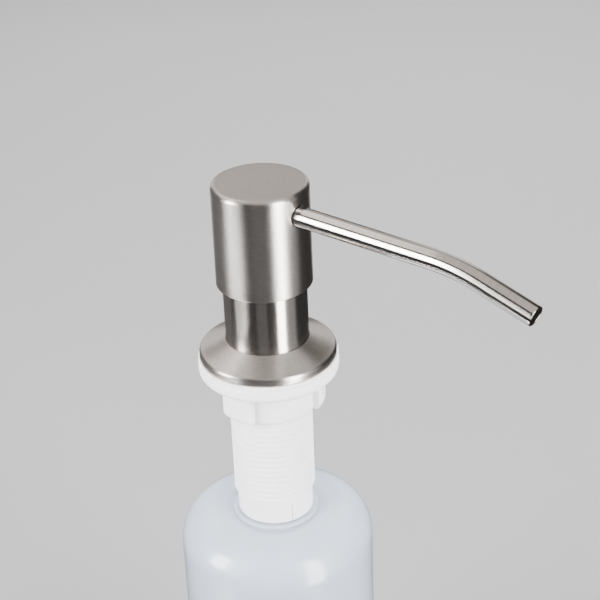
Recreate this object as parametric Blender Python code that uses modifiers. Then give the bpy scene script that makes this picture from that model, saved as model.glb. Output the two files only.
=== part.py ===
"""Deck soap pump dispenser: a separate object for every piece.

Metres, +Z up. The origin is the centre of the bottle's base and the spout points along +X.
Heights named *_Z are measured from the underside of the steel flange, which is DECK_Z above the origin.
"""

import math

import bmesh
import bpy
from mathutils import Matrix, Vector

MM = 0.001

# Overall
DECK_Z = 182.0 * MM
FIT = 0.3 * MM

# Steel deck flange and collar
FLANGE_R = 22.5 * MM
FLANGE_RIM_Z = 2.95 * MM
FLANGE_CROWN_Z = 6.6 * MM
FLANGE_BORE_R = 13.95 * MM
SLEEVE_R = 13.65 * MM
SLEEVE_BORE_R = 12.65 * MM
SLEEVE_BASE_Z = 2.0 * MM
SLEEVE_TOP_Z = 29.4 * MM

# Head and spout
HEAD_R = 15.6 * MM
HEAD_WALL = 1.0 * MM
HEAD_BASE_Z = 26.6 * MM
HEAD_TOP_Z = 61.0 * MM
HEAD_EDGE_R = 1.6 * MM
CORE_R = 14.3 * MM
CORE_BASE_Z = 46.4 * MM
CORE_TOP_Z = 59.5 * MM
SPOUT_R = 3.25 * MM
SPOUT_BORE_R = 2.55 * MM
SPOUT_Z = 53.4 * MM
SPOUT_INNER_X = 5.8 * MM
SPOUT_BEND_X = 65.5 * MM
SPOUT_BEND_R = 60.0 * MM
SPOUT_BEND_ANGLE = math.radians(16.1)
SPOUT_TIP_LENGTH = 19.0 * MM

# Threaded shank, washers and nut
THREAD_R = 13.7 * MM
THREAD_ROOT_R = 12.6 * MM
THREAD_PITCH = 2.0 * MM
THREAD_TOP_Z = -8.0 * MM
THREAD_END_Z = -51.2 * MM
SHANK_END_Z = -60.0 * MM
SHANK_PLAIN_R = 12.7 * MM
SHANK_BORE_R = 11.0 * MM
SHANK_LEDGE_Z = -46.2 * MM
SHANK_LEDGE_R = 9.4 * MM
SHANK_HEAD_R = 20.4 * MM
SHANK_HEAD_TOP_Z = 1.7 * MM
WASHER_R = 23.1 * MM
WASHER_TOP_Z = -1.5 * MM
WASHER_BASE_Z = -6.4 * MM
NUT_TOP_Z = -6.6 * MM
NUT_BASE_Z = -18.2 * MM
NUT_BARREL_R = 15.5 * MM
NUT_LUG_R = 18.3 * MM
NUT_LUG_WIDTH = math.radians(38.0)
NUT_LUG_START = math.radians(31.5)
NUT_ROOT_R = 13.98 * MM
NUT_CREST_R = 12.9 * MM

# Bottle
BOTTLE_R = 32.95 * MM
BOTTLE_WALL = 1.2 * MM
BOTTLE_CORNER_R = 12.3 * MM
BOTTLE_FOOT_R = 5.0 * MM
SHOULDER_Z = -60.5 * MM
SHOULDER_DIP_Z = -61.7 * MM
NECK_R = 10.9 * MM
NECK_BORE_R = 9.6 * MM
NECK_TOP_Z = -48.0 * MM
NECK_RING_R = 14.4 * MM

# Pump
STROKE = 15.0 * MM
CLOSURE_TOP_Z = 31.1 * MM
HOUSING_R = 8.0 * MM
HOUSING_BORE_R = 6.8 * MM
HOUSING_TOP_Z = 27.9 * MM
HOUSING_FLOOR_Z = -31.0 * MM
NOZZLE_R = 4.4 * MM
NOZZLE_BORE_R = 3.3 * MM
NOZZLE_END_Z = -46.0 * MM
STEM_R = 3.0 * MM
STEM_BORE_R = 1.3 * MM
STEM_TOP_Z = 50.3 * MM
STEM_FOOT_Z = 7.5 * MM
OUTLET_SEAT_Z = 45.6 * MM
OUTLET_BALL_R = 1.9 * MM
INTAKE_SEAT_Z = -26.5 * MM
INTAKE_BALL_R = 2.4 * MM
SPRING_R = 5.3 * MM
SPRING_WIRE_R = 0.45 * MM
SPRING_BASE_Z = -25.9 * MM
SPRING_TOP_Z = 7.2 * MM
SPRING_COILS = 7
TUBE_R = 3.0 * MM
TUBE_BORE_R = 2.2 * MM
TUBE_TOP_Z = -32.6 * MM
TUBE_END_Z = -175.0 * MM

FACETS = 36
SMALL_FACETS = 24
THREAD_FACETS = 18

SMOOTH_ANGLE = math.radians(35.0)


def clear_scene():
    """Remove the starting objects."""
    for obj in list(bpy.data.objects):
        bpy.data.objects.remove(obj)


def collection(name):
    """A new collection under the scene's own."""
    group = bpy.data.collections.new(name)
    bpy.context.scene.collection.children.link(group)
    return group


def material(name, colour, metallic, roughness):
    """A Principled BSDF material."""
    made = bpy.data.materials.new(name)
    made.use_nodes = True
    shader = made.node_tree.nodes["Principled BSDF"]
    shader.inputs["Base Color"].default_value = (*colour, 1.0)
    shader.inputs["Metallic"].default_value = metallic
    shader.inputs["Roughness"].default_value = roughness
    made.diffuse_color = (*colour, 1.0)
    return made


def arc(centre, radius, start, end, steps):
    """Profile points on an arc, angles in degrees from +X."""
    turns = [math.radians(start + (end - start) * i / steps) for i in range(steps + 1)]
    return [(centre[0] + radius * math.cos(a), centre[1] + radius * math.sin(a)) for a in turns]


def new_object(name, mesh, group, finish):
    """Link a mesh as an object with one material."""
    obj = bpy.data.objects.new(name, mesh)
    group.objects.link(obj)
    if finish is not None:
        mesh.materials.append(finish)
    return obj


def from_bmesh(name, bm, group, finish):
    """Turn a bmesh into an object with outward normals."""
    bmesh.ops.remove_doubles(bm, verts=bm.verts, dist=1e-7)
    bmesh.ops.recalc_face_normals(bm, faces=bm.faces)
    mesh = bpy.data.meshes.new(name)
    bm.to_mesh(mesh)
    bm.free()
    return new_object(name, mesh, group, finish)


def turned(name, profile, group, finish, facets=FACETS):
    """A turned solid from a profile listed down its outer side: a loop, or a line that ends on the axis."""
    mesh = bpy.data.meshes.new(name)
    points = [(r, 0.0, DECK_Z + z) for r, z in profile]
    edges = [(i, i + 1) for i in range(len(points) - 1)]
    if profile[0][0] > 0.0:
        edges.append((len(points) - 1, 0))
    mesh.from_pydata(points, edges, [])
    obj = new_object(name, mesh, group, finish)
    screw = obj.modifiers.new("Turn", "SCREW")
    screw.axis = "Z"
    screw.angle = math.tau
    screw.steps = facets
    screw.render_steps = facets
    screw.use_merge_vertices = True
    screw.merge_threshold = 0.00001
    screw.use_smooth_shade = True
    return obj


def rod(name, radius, start, end, group, facets=SMALL_FACETS):
    """A solid cylinder between two points."""
    start, end = Vector(start), Vector(end)
    line = end - start
    bm = bmesh.new()
    turn = line.to_track_quat("Z", "Y").to_matrix().to_4x4()
    place = Matrix.Translation((start + end) / 2) @ turn
    bmesh.ops.create_cone(
        bm,
        cap_ends=True,
        segments=facets,
        radius1=radius,
        radius2=radius,
        depth=line.length,
        matrix=place,
    )
    return from_bmesh(name, bm, group, None)


def block(name, centre, size, turn, group):
    """A box turned about Z through the origin."""
    bm = bmesh.new()
    place = Matrix.Rotation(turn, 4, "Z") @ Matrix.Translation(centre)
    bmesh.ops.create_cube(bm, size=1.0, matrix=place @ Matrix.Diagonal((*size, 1.0)))
    return from_bmesh(name, bm, group, None)


def combine(obj, other, operation):
    """Add an exact Boolean modifier."""
    step = obj.modifiers.new(operation.title(), "BOOLEAN")
    step.operation = operation
    step.solver = "EXACT"
    step.object = other
    other.hide_render = True
    other.display_type = "WIRE"


def ball(name, radius, height, group, finish):
    """A ball whose origin is its centre, on the Z axis."""
    bm = bmesh.new()
    bmesh.ops.create_uvsphere(bm, u_segments=16, v_segments=10, radius=radius)
    obj = from_bmesh(name, bm, group, finish)
    obj.location = (0.0, 0.0, DECK_Z + height)
    return obj


def ring(name, radius, thickness, height, group, finish, facets=SMALL_FACETS):
    """A round-section seal about the Z axis."""
    section = arc((radius, height), thickness, 90.0, -210.0, 5)
    return turned(name, section, group, finish, facets)


def helix_ridge(name, root, crest, width, span, phase, group):
    """A V-shaped thread ridge: radius and width at its root, radius of its crest, and its heights."""
    low, high = span
    steps = int((high - low - width) / THREAD_PITCH * THREAD_FACETS)
    bm = bmesh.new()
    section = [(root, -width / 2), (crest, 0.0), (root, width / 2)]
    lead = low + width / 2
    begin = math.tau * (lead - phase) / THREAD_PITCH
    corners = [
        bm.verts.new((r * math.cos(begin), r * math.sin(begin), DECK_Z + lead + z)) for r, z in section
    ]
    start = bm.faces.new(corners)
    bmesh.ops.spin(
        bm,
        geom=[start],
        cent=(0.0, 0.0, 0.0),
        axis=(0.0, 0.0, 1.0),
        dvec=(0.0, 0.0, THREAD_PITCH / THREAD_FACETS),
        angle=math.tau * steps / THREAD_FACETS,
        steps=steps,
        use_duplicate=False,
    )
    return from_bmesh(name, bm, group, None)


def flange_cover(parts, steel):
    """Dished steel deck flange with a thick rounded rim."""
    profile = [
        (FLANGE_BORE_R, FLANGE_CROWN_Z),
        (15.2 * MM, 5.85 * MM),
        (18.2 * MM, 4.45 * MM),
        (21.3 * MM, FLANGE_RIM_Z + 0.18 * MM),
        (21.9 * MM, FLANGE_RIM_Z - 0.1 * MM),
        (22.33 * MM, 2.4 * MM),
        (FLANGE_R, 1.85 * MM),
        (FLANGE_R, 0.3 * MM),
        (22.25 * MM, 0.0),
        (21.0 * MM, 0.0),
        (21.0 * MM, 2.0 * MM),
        (FLANGE_BORE_R, 5.2 * MM),
    ]
    return turned("flange_cover", profile, parts, steel)


def collar_sleeve(parts, steel):
    """Straight steel sleeve between the flange and the head."""
    profile = [
        (SLEEVE_BORE_R, SLEEVE_TOP_Z),
        (SLEEVE_R - 0.3 * MM, SLEEVE_TOP_Z),
        (SLEEVE_R, SLEEVE_TOP_Z - 0.3 * MM),
        (SLEEVE_R, SLEEVE_BASE_Z),
        (SLEEVE_BORE_R, SLEEVE_BASE_Z),
    ]
    return turned("collar_sleeve", profile, parts, steel)


def threaded_shank(parts, cutters, plastic):
    """Threaded tube that passes through the deck, with a flat head under the steel."""
    profile = [
        (SHANK_BORE_R, SHANK_HEAD_TOP_Z),
        (SHANK_HEAD_R, SHANK_HEAD_TOP_Z),
        (SHANK_HEAD_R, 0.05 * MM),
        (SHANK_PLAIN_R, 0.05 * MM),
        (SHANK_PLAIN_R, THREAD_TOP_Z),
        (12.0 * MM, THREAD_TOP_Z),
        (12.0 * MM, THREAD_END_Z),
        (SHANK_PLAIN_R, THREAD_END_Z),
        (SHANK_PLAIN_R, SHANK_END_Z),
        (11.25 * MM, SHANK_END_Z),
        (11.25 * MM, SHANK_LEDGE_Z),
        (SHANK_LEDGE_R, SHANK_LEDGE_Z),
        (SHANK_LEDGE_R, SHANK_LEDGE_Z + 2.2 * MM),
        (SHANK_BORE_R, SHANK_LEDGE_Z + 3.4 * MM),
    ]
    obj = turned("threaded_shank", profile, parts, plastic)
    tube = [
        (11.6 * MM, THREAD_TOP_Z + 0.4 * MM),
        (THREAD_ROOT_R, THREAD_TOP_Z + 0.4 * MM),
        (THREAD_ROOT_R, THREAD_END_Z - 0.4 * MM),
        (11.6 * MM, THREAD_END_Z - 0.4 * MM),
    ]
    root = turned("thread_root", tube, cutters, None, THREAD_FACETS)
    span = (THREAD_END_Z, THREAD_TOP_Z)
    ridge = helix_ridge("shank_thread", 12.2 * MM, THREAD_R, 1.9 * MM, span, 0.0, cutters)
    combine(root, ridge, "UNION")
    combine(obj, root, "UNION")
    height = DECK_Z + SHANK_END_Z + 2.8 * MM
    centre = (SHANK_PLAIN_R + 0.2 * MM, 0.0, height)
    slot = block("shank_slot", centre, (1.4 * MM, 0.6 * MM, 7.4 * MM), math.radians(-24.5), cutters)
    combine(obj, slot, "DIFFERENCE")
    return obj


def flange_gasket(parts, rubber):
    """Thin gasket clamped under the steel flange."""
    profile = [
        (13.1 * MM, -0.25 * MM),
        (22.9 * MM, -0.25 * MM),
        (22.9 * MM, -1.25 * MM),
        (13.1 * MM, -1.25 * MM),
    ]
    return turned("flange_gasket", profile, parts, rubber, SMALL_FACETS)


def clamp_washer(parts, plastic):
    """Thick ring that the nut presses up against the deck."""
    profile = [
        (14.0 * MM, WASHER_TOP_Z),
        (WASHER_R - 0.5 * MM, WASHER_TOP_Z),
        (WASHER_R, WASHER_TOP_Z - 0.5 * MM),
        (WASHER_R, WASHER_BASE_Z + 2.4 * MM),
        (22.4 * MM, WASHER_BASE_Z + 0.8 * MM),
        (20.8 * MM, WASHER_BASE_Z),
        (14.0 * MM, WASHER_BASE_Z),
    ]
    return turned("clamp_washer", profile, parts, plastic)


def nut_lug(index, cutters):
    """One finger lug of the nut, rounded at its lower outer edge."""
    inner = 14.9 * MM
    section = [
        (inner, NUT_TOP_Z),
        (NUT_LUG_R, NUT_TOP_Z),
        (NUT_LUG_R, NUT_BASE_Z + 2.2 * MM),
        (NUT_LUG_R - 0.6 * MM, NUT_BASE_Z + 0.7 * MM),
        (NUT_LUG_R - 2.2 * MM, NUT_BASE_Z),
        (inner, NUT_BASE_Z),
    ]
    middle = NUT_LUG_START + index * math.tau / 3
    first = middle - NUT_LUG_WIDTH / 2
    bm = bmesh.new()
    corners = [
        bm.verts.new((r * math.cos(first), r * math.sin(first), DECK_Z + z)) for r, z in section
    ]
    face = bm.faces.new(corners)
    bmesh.ops.spin(
        bm,
        geom=[face],
        cent=(0.0, 0.0, 0.0),
        axis=(0.0, 0.0, 1.0),
        dvec=(0.0, 0.0, 0.0),
        angle=NUT_LUG_WIDTH,
        steps=5,
        use_duplicate=False,
    )
    return from_bmesh(f"nut_lug_{index + 1}", bm, cutters, None)


def mounting_nut(parts, cutters, plastic):
    """Plastic nut with three lugs and an internal thread."""
    profile = [
        (NUT_ROOT_R, NUT_TOP_Z),
        (NUT_BARREL_R, NUT_TOP_Z),
        (NUT_BARREL_R, NUT_BASE_Z + 0.4 * MM),
        (NUT_BARREL_R - 0.4 * MM, NUT_BASE_Z),
        (NUT_ROOT_R, NUT_BASE_Z),
    ]
    obj = turned("mounting_nut", profile, parts, plastic)
    for index in range(3):
        combine(obj, nut_lug(index, cutters), "UNION")
    span = (NUT_BASE_Z + 0.1 * MM, NUT_TOP_Z - 0.1 * MM)
    phase = THREAD_PITCH / 2
    ridge = helix_ridge("nut_thread", 14.5 * MM, NUT_CREST_R, 1.3 * MM, span, phase, cutters)
    combine(obj, ridge, "UNION")
    return obj


def bottle(parts, plastic):
    """Blown bottle with a round shoulder, a neck ring and a plain neck."""
    wall = BOTTLE_WALL
    corner = (BOTTLE_R - BOTTLE_CORNER_R, SHOULDER_Z - BOTTLE_CORNER_R)
    foot = (BOTTLE_R - BOTTLE_FOOT_R, BOTTLE_FOOT_R - DECK_Z)
    inner = [(0.0, wall - DECK_Z)]
    inner += arc(foot, BOTTLE_FOOT_R - wall, -90.0, 0.0, 2)
    inner += arc(corner, BOTTLE_CORNER_R - wall, 0.0, 90.0, 4)
    inner += [
        (14.5 * MM, SHOULDER_DIP_Z - 1.6 * MM),
        (NECK_BORE_R, SHOULDER_DIP_Z - 1.6 * MM),
        (NECK_BORE_R, NECK_TOP_Z),
    ]
    outer = [
        (NECK_R, NECK_TOP_Z),
        (NECK_R, -60.9 * MM),
        (11.6 * MM, -60.5 * MM),
        (13.4 * MM, -60.35 * MM),
        (NECK_RING_R, -60.95 * MM),
        (NECK_RING_R + 0.1 * MM, SHOULDER_DIP_Z),
        (17.6 * MM, SHOULDER_Z - 0.35 * MM),
    ]
    outer += arc(corner, BOTTLE_CORNER_R, 90.0, 0.0, 7)
    outer += arc(foot, BOTTLE_FOOT_R, 0.0, -90.0, 3)
    outer.append((0.0, -DECK_Z))
    return turned("bottle", inner + outer, parts, plastic)


def flat_ring(name, inner, outer, base, top, group, finish, facets=SMALL_FACETS):
    """A plain ring between two heights."""
    profile = [(inner, top), (outer, top), (outer, base), (inner, base)]
    return turned(name, profile, group, finish, facets)


def pump_closure(parts, plastic):
    """Cap that hangs the pump in the collar's mouth."""
    profile = [
        (5.0 * MM, CLOSURE_TOP_Z),
        (13.3 * MM, CLOSURE_TOP_Z),
        (SLEEVE_R, CLOSURE_TOP_Z - 0.4 * MM),
        (SLEEVE_R, SLEEVE_TOP_Z + 0.2 * MM),
        (12.3 * MM, SLEEVE_TOP_Z + 0.2 * MM),
        (12.3 * MM, 21.4 * MM),
        (11.6 * MM, 21.4 * MM),
        (11.6 * MM, 20.0 * MM),
        (12.3 * MM, 20.0 * MM),
        (12.3 * MM, 18.0 * MM),
        (10.9 * MM, 18.0 * MM),
        (10.9 * MM, 23.6 * MM),
        (8.4 * MM, 23.6 * MM),
        (8.4 * MM, 24.9 * MM),
        (10.9 * MM, 24.9 * MM),
        (10.9 * MM, 29.6 * MM),
        (5.0 * MM, 29.6 * MM),
    ]
    return turned("pump_closure", profile, parts, plastic, SMALL_FACETS)


def guide_bush(parts, plastic):
    """Bush that guides the stem and closes the top of the housing."""
    profile = [
        (3.35 * MM, CLOSURE_TOP_Z),
        (4.7 * MM, CLOSURE_TOP_Z),
        (4.7 * MM, 29.3 * MM),
        (10.6 * MM, 29.3 * MM),
        (10.6 * MM, 28.2 * MM),
        (6.5 * MM, 28.2 * MM),
        (6.5 * MM, 19.0 * MM),
        (3.35 * MM, 19.0 * MM),
    ]
    return turned("guide_bush", profile, parts, plastic, SMALL_FACETS)


def pump_housing(parts, plastic):
    """Pump cylinder with a top flange and a nozzle for the dip tube."""
    profile = [
        (HOUSING_BORE_R, HOUSING_TOP_Z),
        (10.6 * MM, HOUSING_TOP_Z),
        (10.6 * MM, 26.5 * MM),
        (HOUSING_R, 26.5 * MM),
        (HOUSING_R, HOUSING_FLOOR_Z),
        (NOZZLE_R, HOUSING_FLOOR_Z - 3.0 * MM),
        (NOZZLE_R, NOZZLE_END_Z),
        (NOZZLE_BORE_R, NOZZLE_END_Z),
        (NOZZLE_BORE_R, TUBE_TOP_Z + FIT),
        (2.2 * MM, TUBE_TOP_Z + FIT),
        (2.2 * MM, -30.0 * MM),
        (HOUSING_BORE_R, -30.0 * MM),
    ]
    return turned("pump_housing", profile, parts, plastic, SMALL_FACETS)


def valve_seat(parts, plastic):
    """Seat for the intake ball on the housing floor."""
    profile = [
        (2.2 * MM, INTAKE_SEAT_Z + 0.4 * MM),
        (6.5 * MM, INTAKE_SEAT_Z),
        (6.5 * MM, -29.7 * MM),
        (1.7 * MM, -29.7 * MM),
        (1.7 * MM, INTAKE_SEAT_Z - 0.4 * MM),
    ]
    return turned("valve_seat", profile, parts, plastic, SMALL_FACETS)


def ball_cage(parts, cutters, plastic):
    """Slotted cage that limits the intake ball's lift."""
    profile = [
        (1.5 * MM, -19.3 * MM),
        (4.2 * MM, -19.3 * MM),
        (4.2 * MM, -25.75 * MM),
        (2.8 * MM, -25.75 * MM),
        (2.8 * MM, -20.5 * MM),
        (1.5 * MM, -20.5 * MM),
    ]
    obj = turned("ball_cage", profile, parts, plastic, SMALL_FACETS)
    for index in range(3):
        turn = index * math.tau / 3 + math.radians(30.0)
        centre = (3.5 * MM, 0.0, DECK_Z - 23.8 * MM)
        window = block(f"cage_window_{index + 1}", centre, (2.4 * MM, 1.8 * MM, 2.6 * MM), turn, cutters)
        combine(obj, window, "DIFFERENCE")
    return obj


def stem(parts, plastic):
    """Hollow stem from the piston to the head, with the outlet ball's chamber at its top."""
    profile = [
        (2.25 * MM, STEM_TOP_Z),
        (STEM_R, STEM_TOP_Z),
        (STEM_R, STEM_FOOT_Z + 1.7 * MM),
        (4.4 * MM, STEM_FOOT_Z + 1.7 * MM),
        (4.4 * MM, STEM_FOOT_Z),
        (STEM_BORE_R, STEM_FOOT_Z),
        (STEM_BORE_R, OUTLET_SEAT_Z),
        (2.25 * MM, OUTLET_SEAT_Z),
    ]
    return turned("stem", profile, parts, plastic, SMALL_FACETS)


def piston(parts, rubber):
    """Two-lipped piston seal on the foot of the stem."""
    base = STEM_FOOT_Z + 2.0 * MM
    profile = [
        (3.25 * MM, base + 7.6 * MM),
        (5.2 * MM, base + 7.6 * MM),
        (6.2 * MM, base + 8.0 * MM),
        (6.5 * MM, base + 7.2 * MM),
        (5.6 * MM, base + 5.4 * MM),
        (5.6 * MM, base + 2.6 * MM),
        (6.5 * MM, base + 0.8 * MM),
        (6.2 * MM, base),
        (5.2 * MM, base + 0.4 * MM),
        (3.25 * MM, base + 0.4 * MM),
    ]
    return turned("piston", profile, parts, rubber, SMALL_FACETS)


def return_spring(parts, steel):
    """Compression spring between the valve seat and the stem's foot."""
    base = DECK_Z + SPRING_BASE_Z + SPRING_WIRE_R
    height = SPRING_TOP_Z - SPRING_BASE_Z - 2 * SPRING_WIRE_R
    count = SPRING_COILS * 12
    curve = bpy.data.curves.new("return_spring_path", "CURVE")
    curve.dimensions = "3D"
    curve.bevel_depth = SPRING_WIRE_R
    curve.bevel_resolution = 1
    curve.use_fill_caps = True
    wire = curve.splines.new("POLY")
    wire.points.add(count)
    for index, point in enumerate(wire.points):
        turn = math.tau * SPRING_COILS * index / count
        rise = min(max((index / count - 0.06) / 0.88, 0.0), 1.0)
        z = base + 0.6 * MM * index / count + (height - 0.6 * MM) * rise
        point.co = (SPRING_R * math.cos(turn), SPRING_R * math.sin(turn), z, 1.0)
    obj = bpy.data.objects.new("return_spring", curve)
    parts.objects.link(obj)
    curve.materials.append(steel)
    return obj


def dip_tube(parts, plastic):
    """Straight tube from the housing's nozzle to just above the bottle's base."""
    profile = [
        (TUBE_BORE_R, TUBE_TOP_Z),
        (TUBE_R, TUBE_TOP_Z),
        (TUBE_R, TUBE_END_Z),
        (TUBE_BORE_R, TUBE_END_Z),
    ]
    return turned("dip_tube", profile, parts, plastic, SMALL_FACETS)


def head_shell(parts, cutters, steel):
    """Deep-drawn steel cap with a hole for the spout."""
    edge = (HEAD_R - HEAD_EDGE_R, HEAD_TOP_Z - HEAD_EDGE_R)
    bore = HEAD_R - HEAD_WALL
    under = HEAD_TOP_Z - 1.2 * MM
    profile = [(0.0, HEAD_TOP_Z)]
    profile += arc(edge, HEAD_EDGE_R, 90.0, 0.0, 4)
    profile += [
        (HEAD_R, HEAD_BASE_Z + 0.2 * MM),
        (HEAD_R - 0.2 * MM, HEAD_BASE_Z),
        (bore, HEAD_BASE_Z),
        (bore, under - 0.8 * MM),
        (bore - 0.8 * MM, under),
        (0.0, under),
    ]
    obj = turned("head_shell", profile, parts, steel)
    z = DECK_Z + SPOUT_Z
    hole = rod("spout_hole", SPOUT_R + 0.3 * MM, (10 * MM, 0, z), (20 * MM, 0, z), cutters)
    combine(obj, hole, "DIFFERENCE")
    return obj


def head_core(parts, cutters, plastic):
    """Insert in the head that joins the stem to the spout."""
    profile = [
        (0.0, CORE_TOP_Z),
        (CORE_R - 0.5 * MM, CORE_TOP_Z),
        (CORE_R, CORE_TOP_Z - 0.5 * MM),
        (CORE_R, CORE_BASE_Z),
        (0.0, CORE_BASE_Z),
    ]
    obj = turned("head_core", profile, parts, plastic)
    z = DECK_Z + SPOUT_Z
    base = DECK_Z + CORE_BASE_Z
    top = DECK_Z + STEM_TOP_Z + FIT
    cuts = [
        rod("stem_socket", 3.25 * MM, (0, 0, base - 2 * MM), (0, 0, top), cutters),
        rod("stem_bore", 1.5 * MM, (0, 0, top - 1 * MM), (0, 0, z + 0.3 * MM), cutters, 18),
        rod("spout_channel", 2.2 * MM, (-1.9 * MM, 0, z), (7 * MM, 0, z), cutters, 22),
        rod("spout_socket", 3.5 * MM, (SPOUT_INNER_X - FIT, 0, z), (16 * MM, 0, z), cutters, 26),
        rod("seal_groove", 4.7 * MM, (8.2 * MM, 0, z), (9.8 * MM, 0, z), cutters),
    ]
    for cutter in cuts:
        combine(obj, cutter, "DIFFERENCE")
    return obj


def spout_o_ring(parts, rubber):
    """Seal round the spout inside the head's insert."""
    section = arc((3.98 * MM, 0.0), 0.5 * MM, 90.0, -210.0, 5)
    points = [(9.0 * MM + x, 0.0, DECK_Z + SPOUT_Z + r) for r, x in section]
    loop = [(i, (i + 1) % len(points)) for i in range(len(points))]
    bm = bmesh.new()
    made = [bm.verts.new(p) for p in points]
    edges = [bm.edges.new((made[a], made[b])) for a, b in loop]
    bmesh.ops.spin(
        bm,
        geom=made + edges,
        cent=(9.0 * MM, 0.0, DECK_Z + SPOUT_Z),
        axis=(1.0, 0.0, 0.0),
        dvec=(0.0, 0.0, 0.0),
        angle=math.tau,
        steps=20,
        use_merge=True,
        use_duplicate=False,
    )
    return from_bmesh("spout_o_ring", bm, parts, rubber)


def pull(bm, faces, offset):
    """Extrude the tube's end in a straight line and return the new end."""
    made = bmesh.ops.extrude_face_region(bm, geom=faces)["geom"]
    verts = [item for item in made if isinstance(item, bmesh.types.BMVert)]
    bmesh.ops.translate(bm, verts=verts, vec=offset)
    return [item for item in made if isinstance(item, bmesh.types.BMFace)]


def bend(bm, faces, centre):
    """Sweep the tube's end round the spout's bend and return the new end."""
    made = bmesh.ops.spin(
        bm,
        geom=faces,
        cent=centre,
        axis=(0.0, 1.0, 0.0),
        dvec=(0.0, 0.0, 0.0),
        angle=SPOUT_BEND_ANGLE,
        steps=5,
        use_duplicate=False,
    )["geom_last"]
    return [item for item in made if isinstance(item, bmesh.types.BMFace)]


def spout_tube(parts, steel):
    """Thin-walled steel tube: straight, one gentle bend, straight to an open tip."""
    bm = bmesh.new()
    centre = (SPOUT_BEND_X, 0.0, DECK_Z + SPOUT_Z - SPOUT_BEND_R)
    run = (SPOUT_BEND_X - SPOUT_INNER_X, 0.0, 0.0)
    fall = Vector((math.cos(SPOUT_BEND_ANGLE), 0.0, -math.sin(SPOUT_BEND_ANGLE))) * SPOUT_TIP_LENGTH
    place = Matrix.Translation((SPOUT_INNER_X, 0.0, DECK_Z + SPOUT_Z)) @ Matrix.Rotation(math.pi / 2, 4, "Y")
    bmesh.ops.create_circle(bm, cap_ends=True, segments=24, radius=SPOUT_R, matrix=place)
    disc = bm.faces[:]
    wall = SPOUT_R - SPOUT_BORE_R
    section = bmesh.ops.inset_region(bm, faces=disc, thickness=wall, use_boundary=True)["faces"]
    bmesh.ops.delete(bm, geom=disc, context="FACES")
    straight = pull(bm, section, run)
    curved = bend(bm, straight, centre)
    pull(bm, curved, fall)
    bmesh.ops.delete(bm, geom=straight + curved, context="FACES")
    return from_bmesh("spout_tube", bm, parts, steel)


def shade(obj):
    """Smooth the round faces and keep the sharp edges."""
    if obj.type != "MESH":
        return
    for face in obj.data.polygons:
        face.use_smooth = True
    obj.data.set_sharp_from_angle(angle=SMOOTH_ANGLE)


def build():
    """Build every piece."""
    clear_scene()
    parts = collection("soap_pump_dispenser")
    cutters = collection("cutters")
    steel = material("brushed_steel", (0.62, 0.59, 0.55), 1.0, 0.35)
    spring_steel = material("spring_steel", (0.55, 0.55, 0.56), 1.0, 0.3)
    white = material("white_plastic", (0.86, 0.85, 0.88), 0.0, 0.4)
    natural = material("natural_plastic", (0.75, 0.79, 0.84), 0.0, 0.35)
    clear = material("clear_plastic", (0.8, 0.84, 0.88), 0.0, 0.25)
    rubber = material("white_rubber", (0.8, 0.8, 0.8), 0.0, 0.7)
    dark = material("dark_rubber", (0.05, 0.05, 0.05), 0.0, 0.6)

    flange_cover(parts, steel)
    collar_sleeve(parts, steel)
    ring("collar_seal", 14.65 * MM, 0.6 * MM, 2.85 * MM, parts, dark)
    threaded_shank(parts, cutters, white)
    flange_gasket(parts, rubber)
    clamp_washer(parts, white)
    mounting_nut(parts, cutters, white)

    bottle(parts, natural)
    flat_ring("bottle_washer", 9.2 * MM, 10.9 * MM, -47.7 * MM, -46.5 * MM, parts, rubber)

    pump_closure(parts, white)
    ring("closure_seal", 12.05 * MM, 0.4 * MM, 20.7 * MM, parts, dark)
    guide_bush(parts, white)
    pump_housing(parts, natural)
    flat_ring("housing_gasket", 8.3 * MM, 10.6 * MM, 25.2 * MM, 26.2 * MM, parts, rubber)
    valve_seat(parts, white)
    ball_cage(parts, cutters, white)
    dip_tube(parts, clear)
    ball("intake_ball", INTAKE_BALL_R, -24.7 * MM, parts, spring_steel)

    piston(parts, rubber)
    return_spring(parts, spring_steel)
    stem(parts, white)
    ball("outlet_ball", OUTLET_BALL_R, 47.1 * MM, parts, spring_steel)
    head_core(parts, cutters, white)
    head_shell(parts, cutters, steel)
    spout_tube(parts, steel)
    spout_o_ring(parts, dark)

    for obj in parts.objects:
        shade(obj)


build()
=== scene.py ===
"""Deck soap pump dispenser, dressed: satin steel above the deck, moulded plastic below it.

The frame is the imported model's: metres, +Z up, origin at the centre of the bottle's base. Sizes in
the classes are millimetres, and their heights are measured from the underside of the deck flange.
"""

import logging
import math
from dataclasses import dataclass
from enum import Enum
from typing import NamedTuple, Sequence

import bmesh
import bpy
from mathutils import Matrix, Vector


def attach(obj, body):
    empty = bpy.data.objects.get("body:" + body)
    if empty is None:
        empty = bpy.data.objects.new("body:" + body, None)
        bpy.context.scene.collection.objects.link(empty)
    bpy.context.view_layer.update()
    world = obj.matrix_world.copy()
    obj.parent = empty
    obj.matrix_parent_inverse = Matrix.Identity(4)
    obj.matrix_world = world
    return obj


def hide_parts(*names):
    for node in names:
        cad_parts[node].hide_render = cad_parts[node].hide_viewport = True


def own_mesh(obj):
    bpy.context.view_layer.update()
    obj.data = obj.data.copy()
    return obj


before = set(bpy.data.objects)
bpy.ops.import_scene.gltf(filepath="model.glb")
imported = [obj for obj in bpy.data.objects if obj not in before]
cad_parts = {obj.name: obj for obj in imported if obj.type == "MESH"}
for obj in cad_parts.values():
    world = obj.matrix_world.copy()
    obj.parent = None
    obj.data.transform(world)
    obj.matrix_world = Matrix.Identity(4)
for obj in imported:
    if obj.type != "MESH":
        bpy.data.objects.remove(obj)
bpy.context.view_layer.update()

LOG = logging.getLogger("soap_pump")

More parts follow.
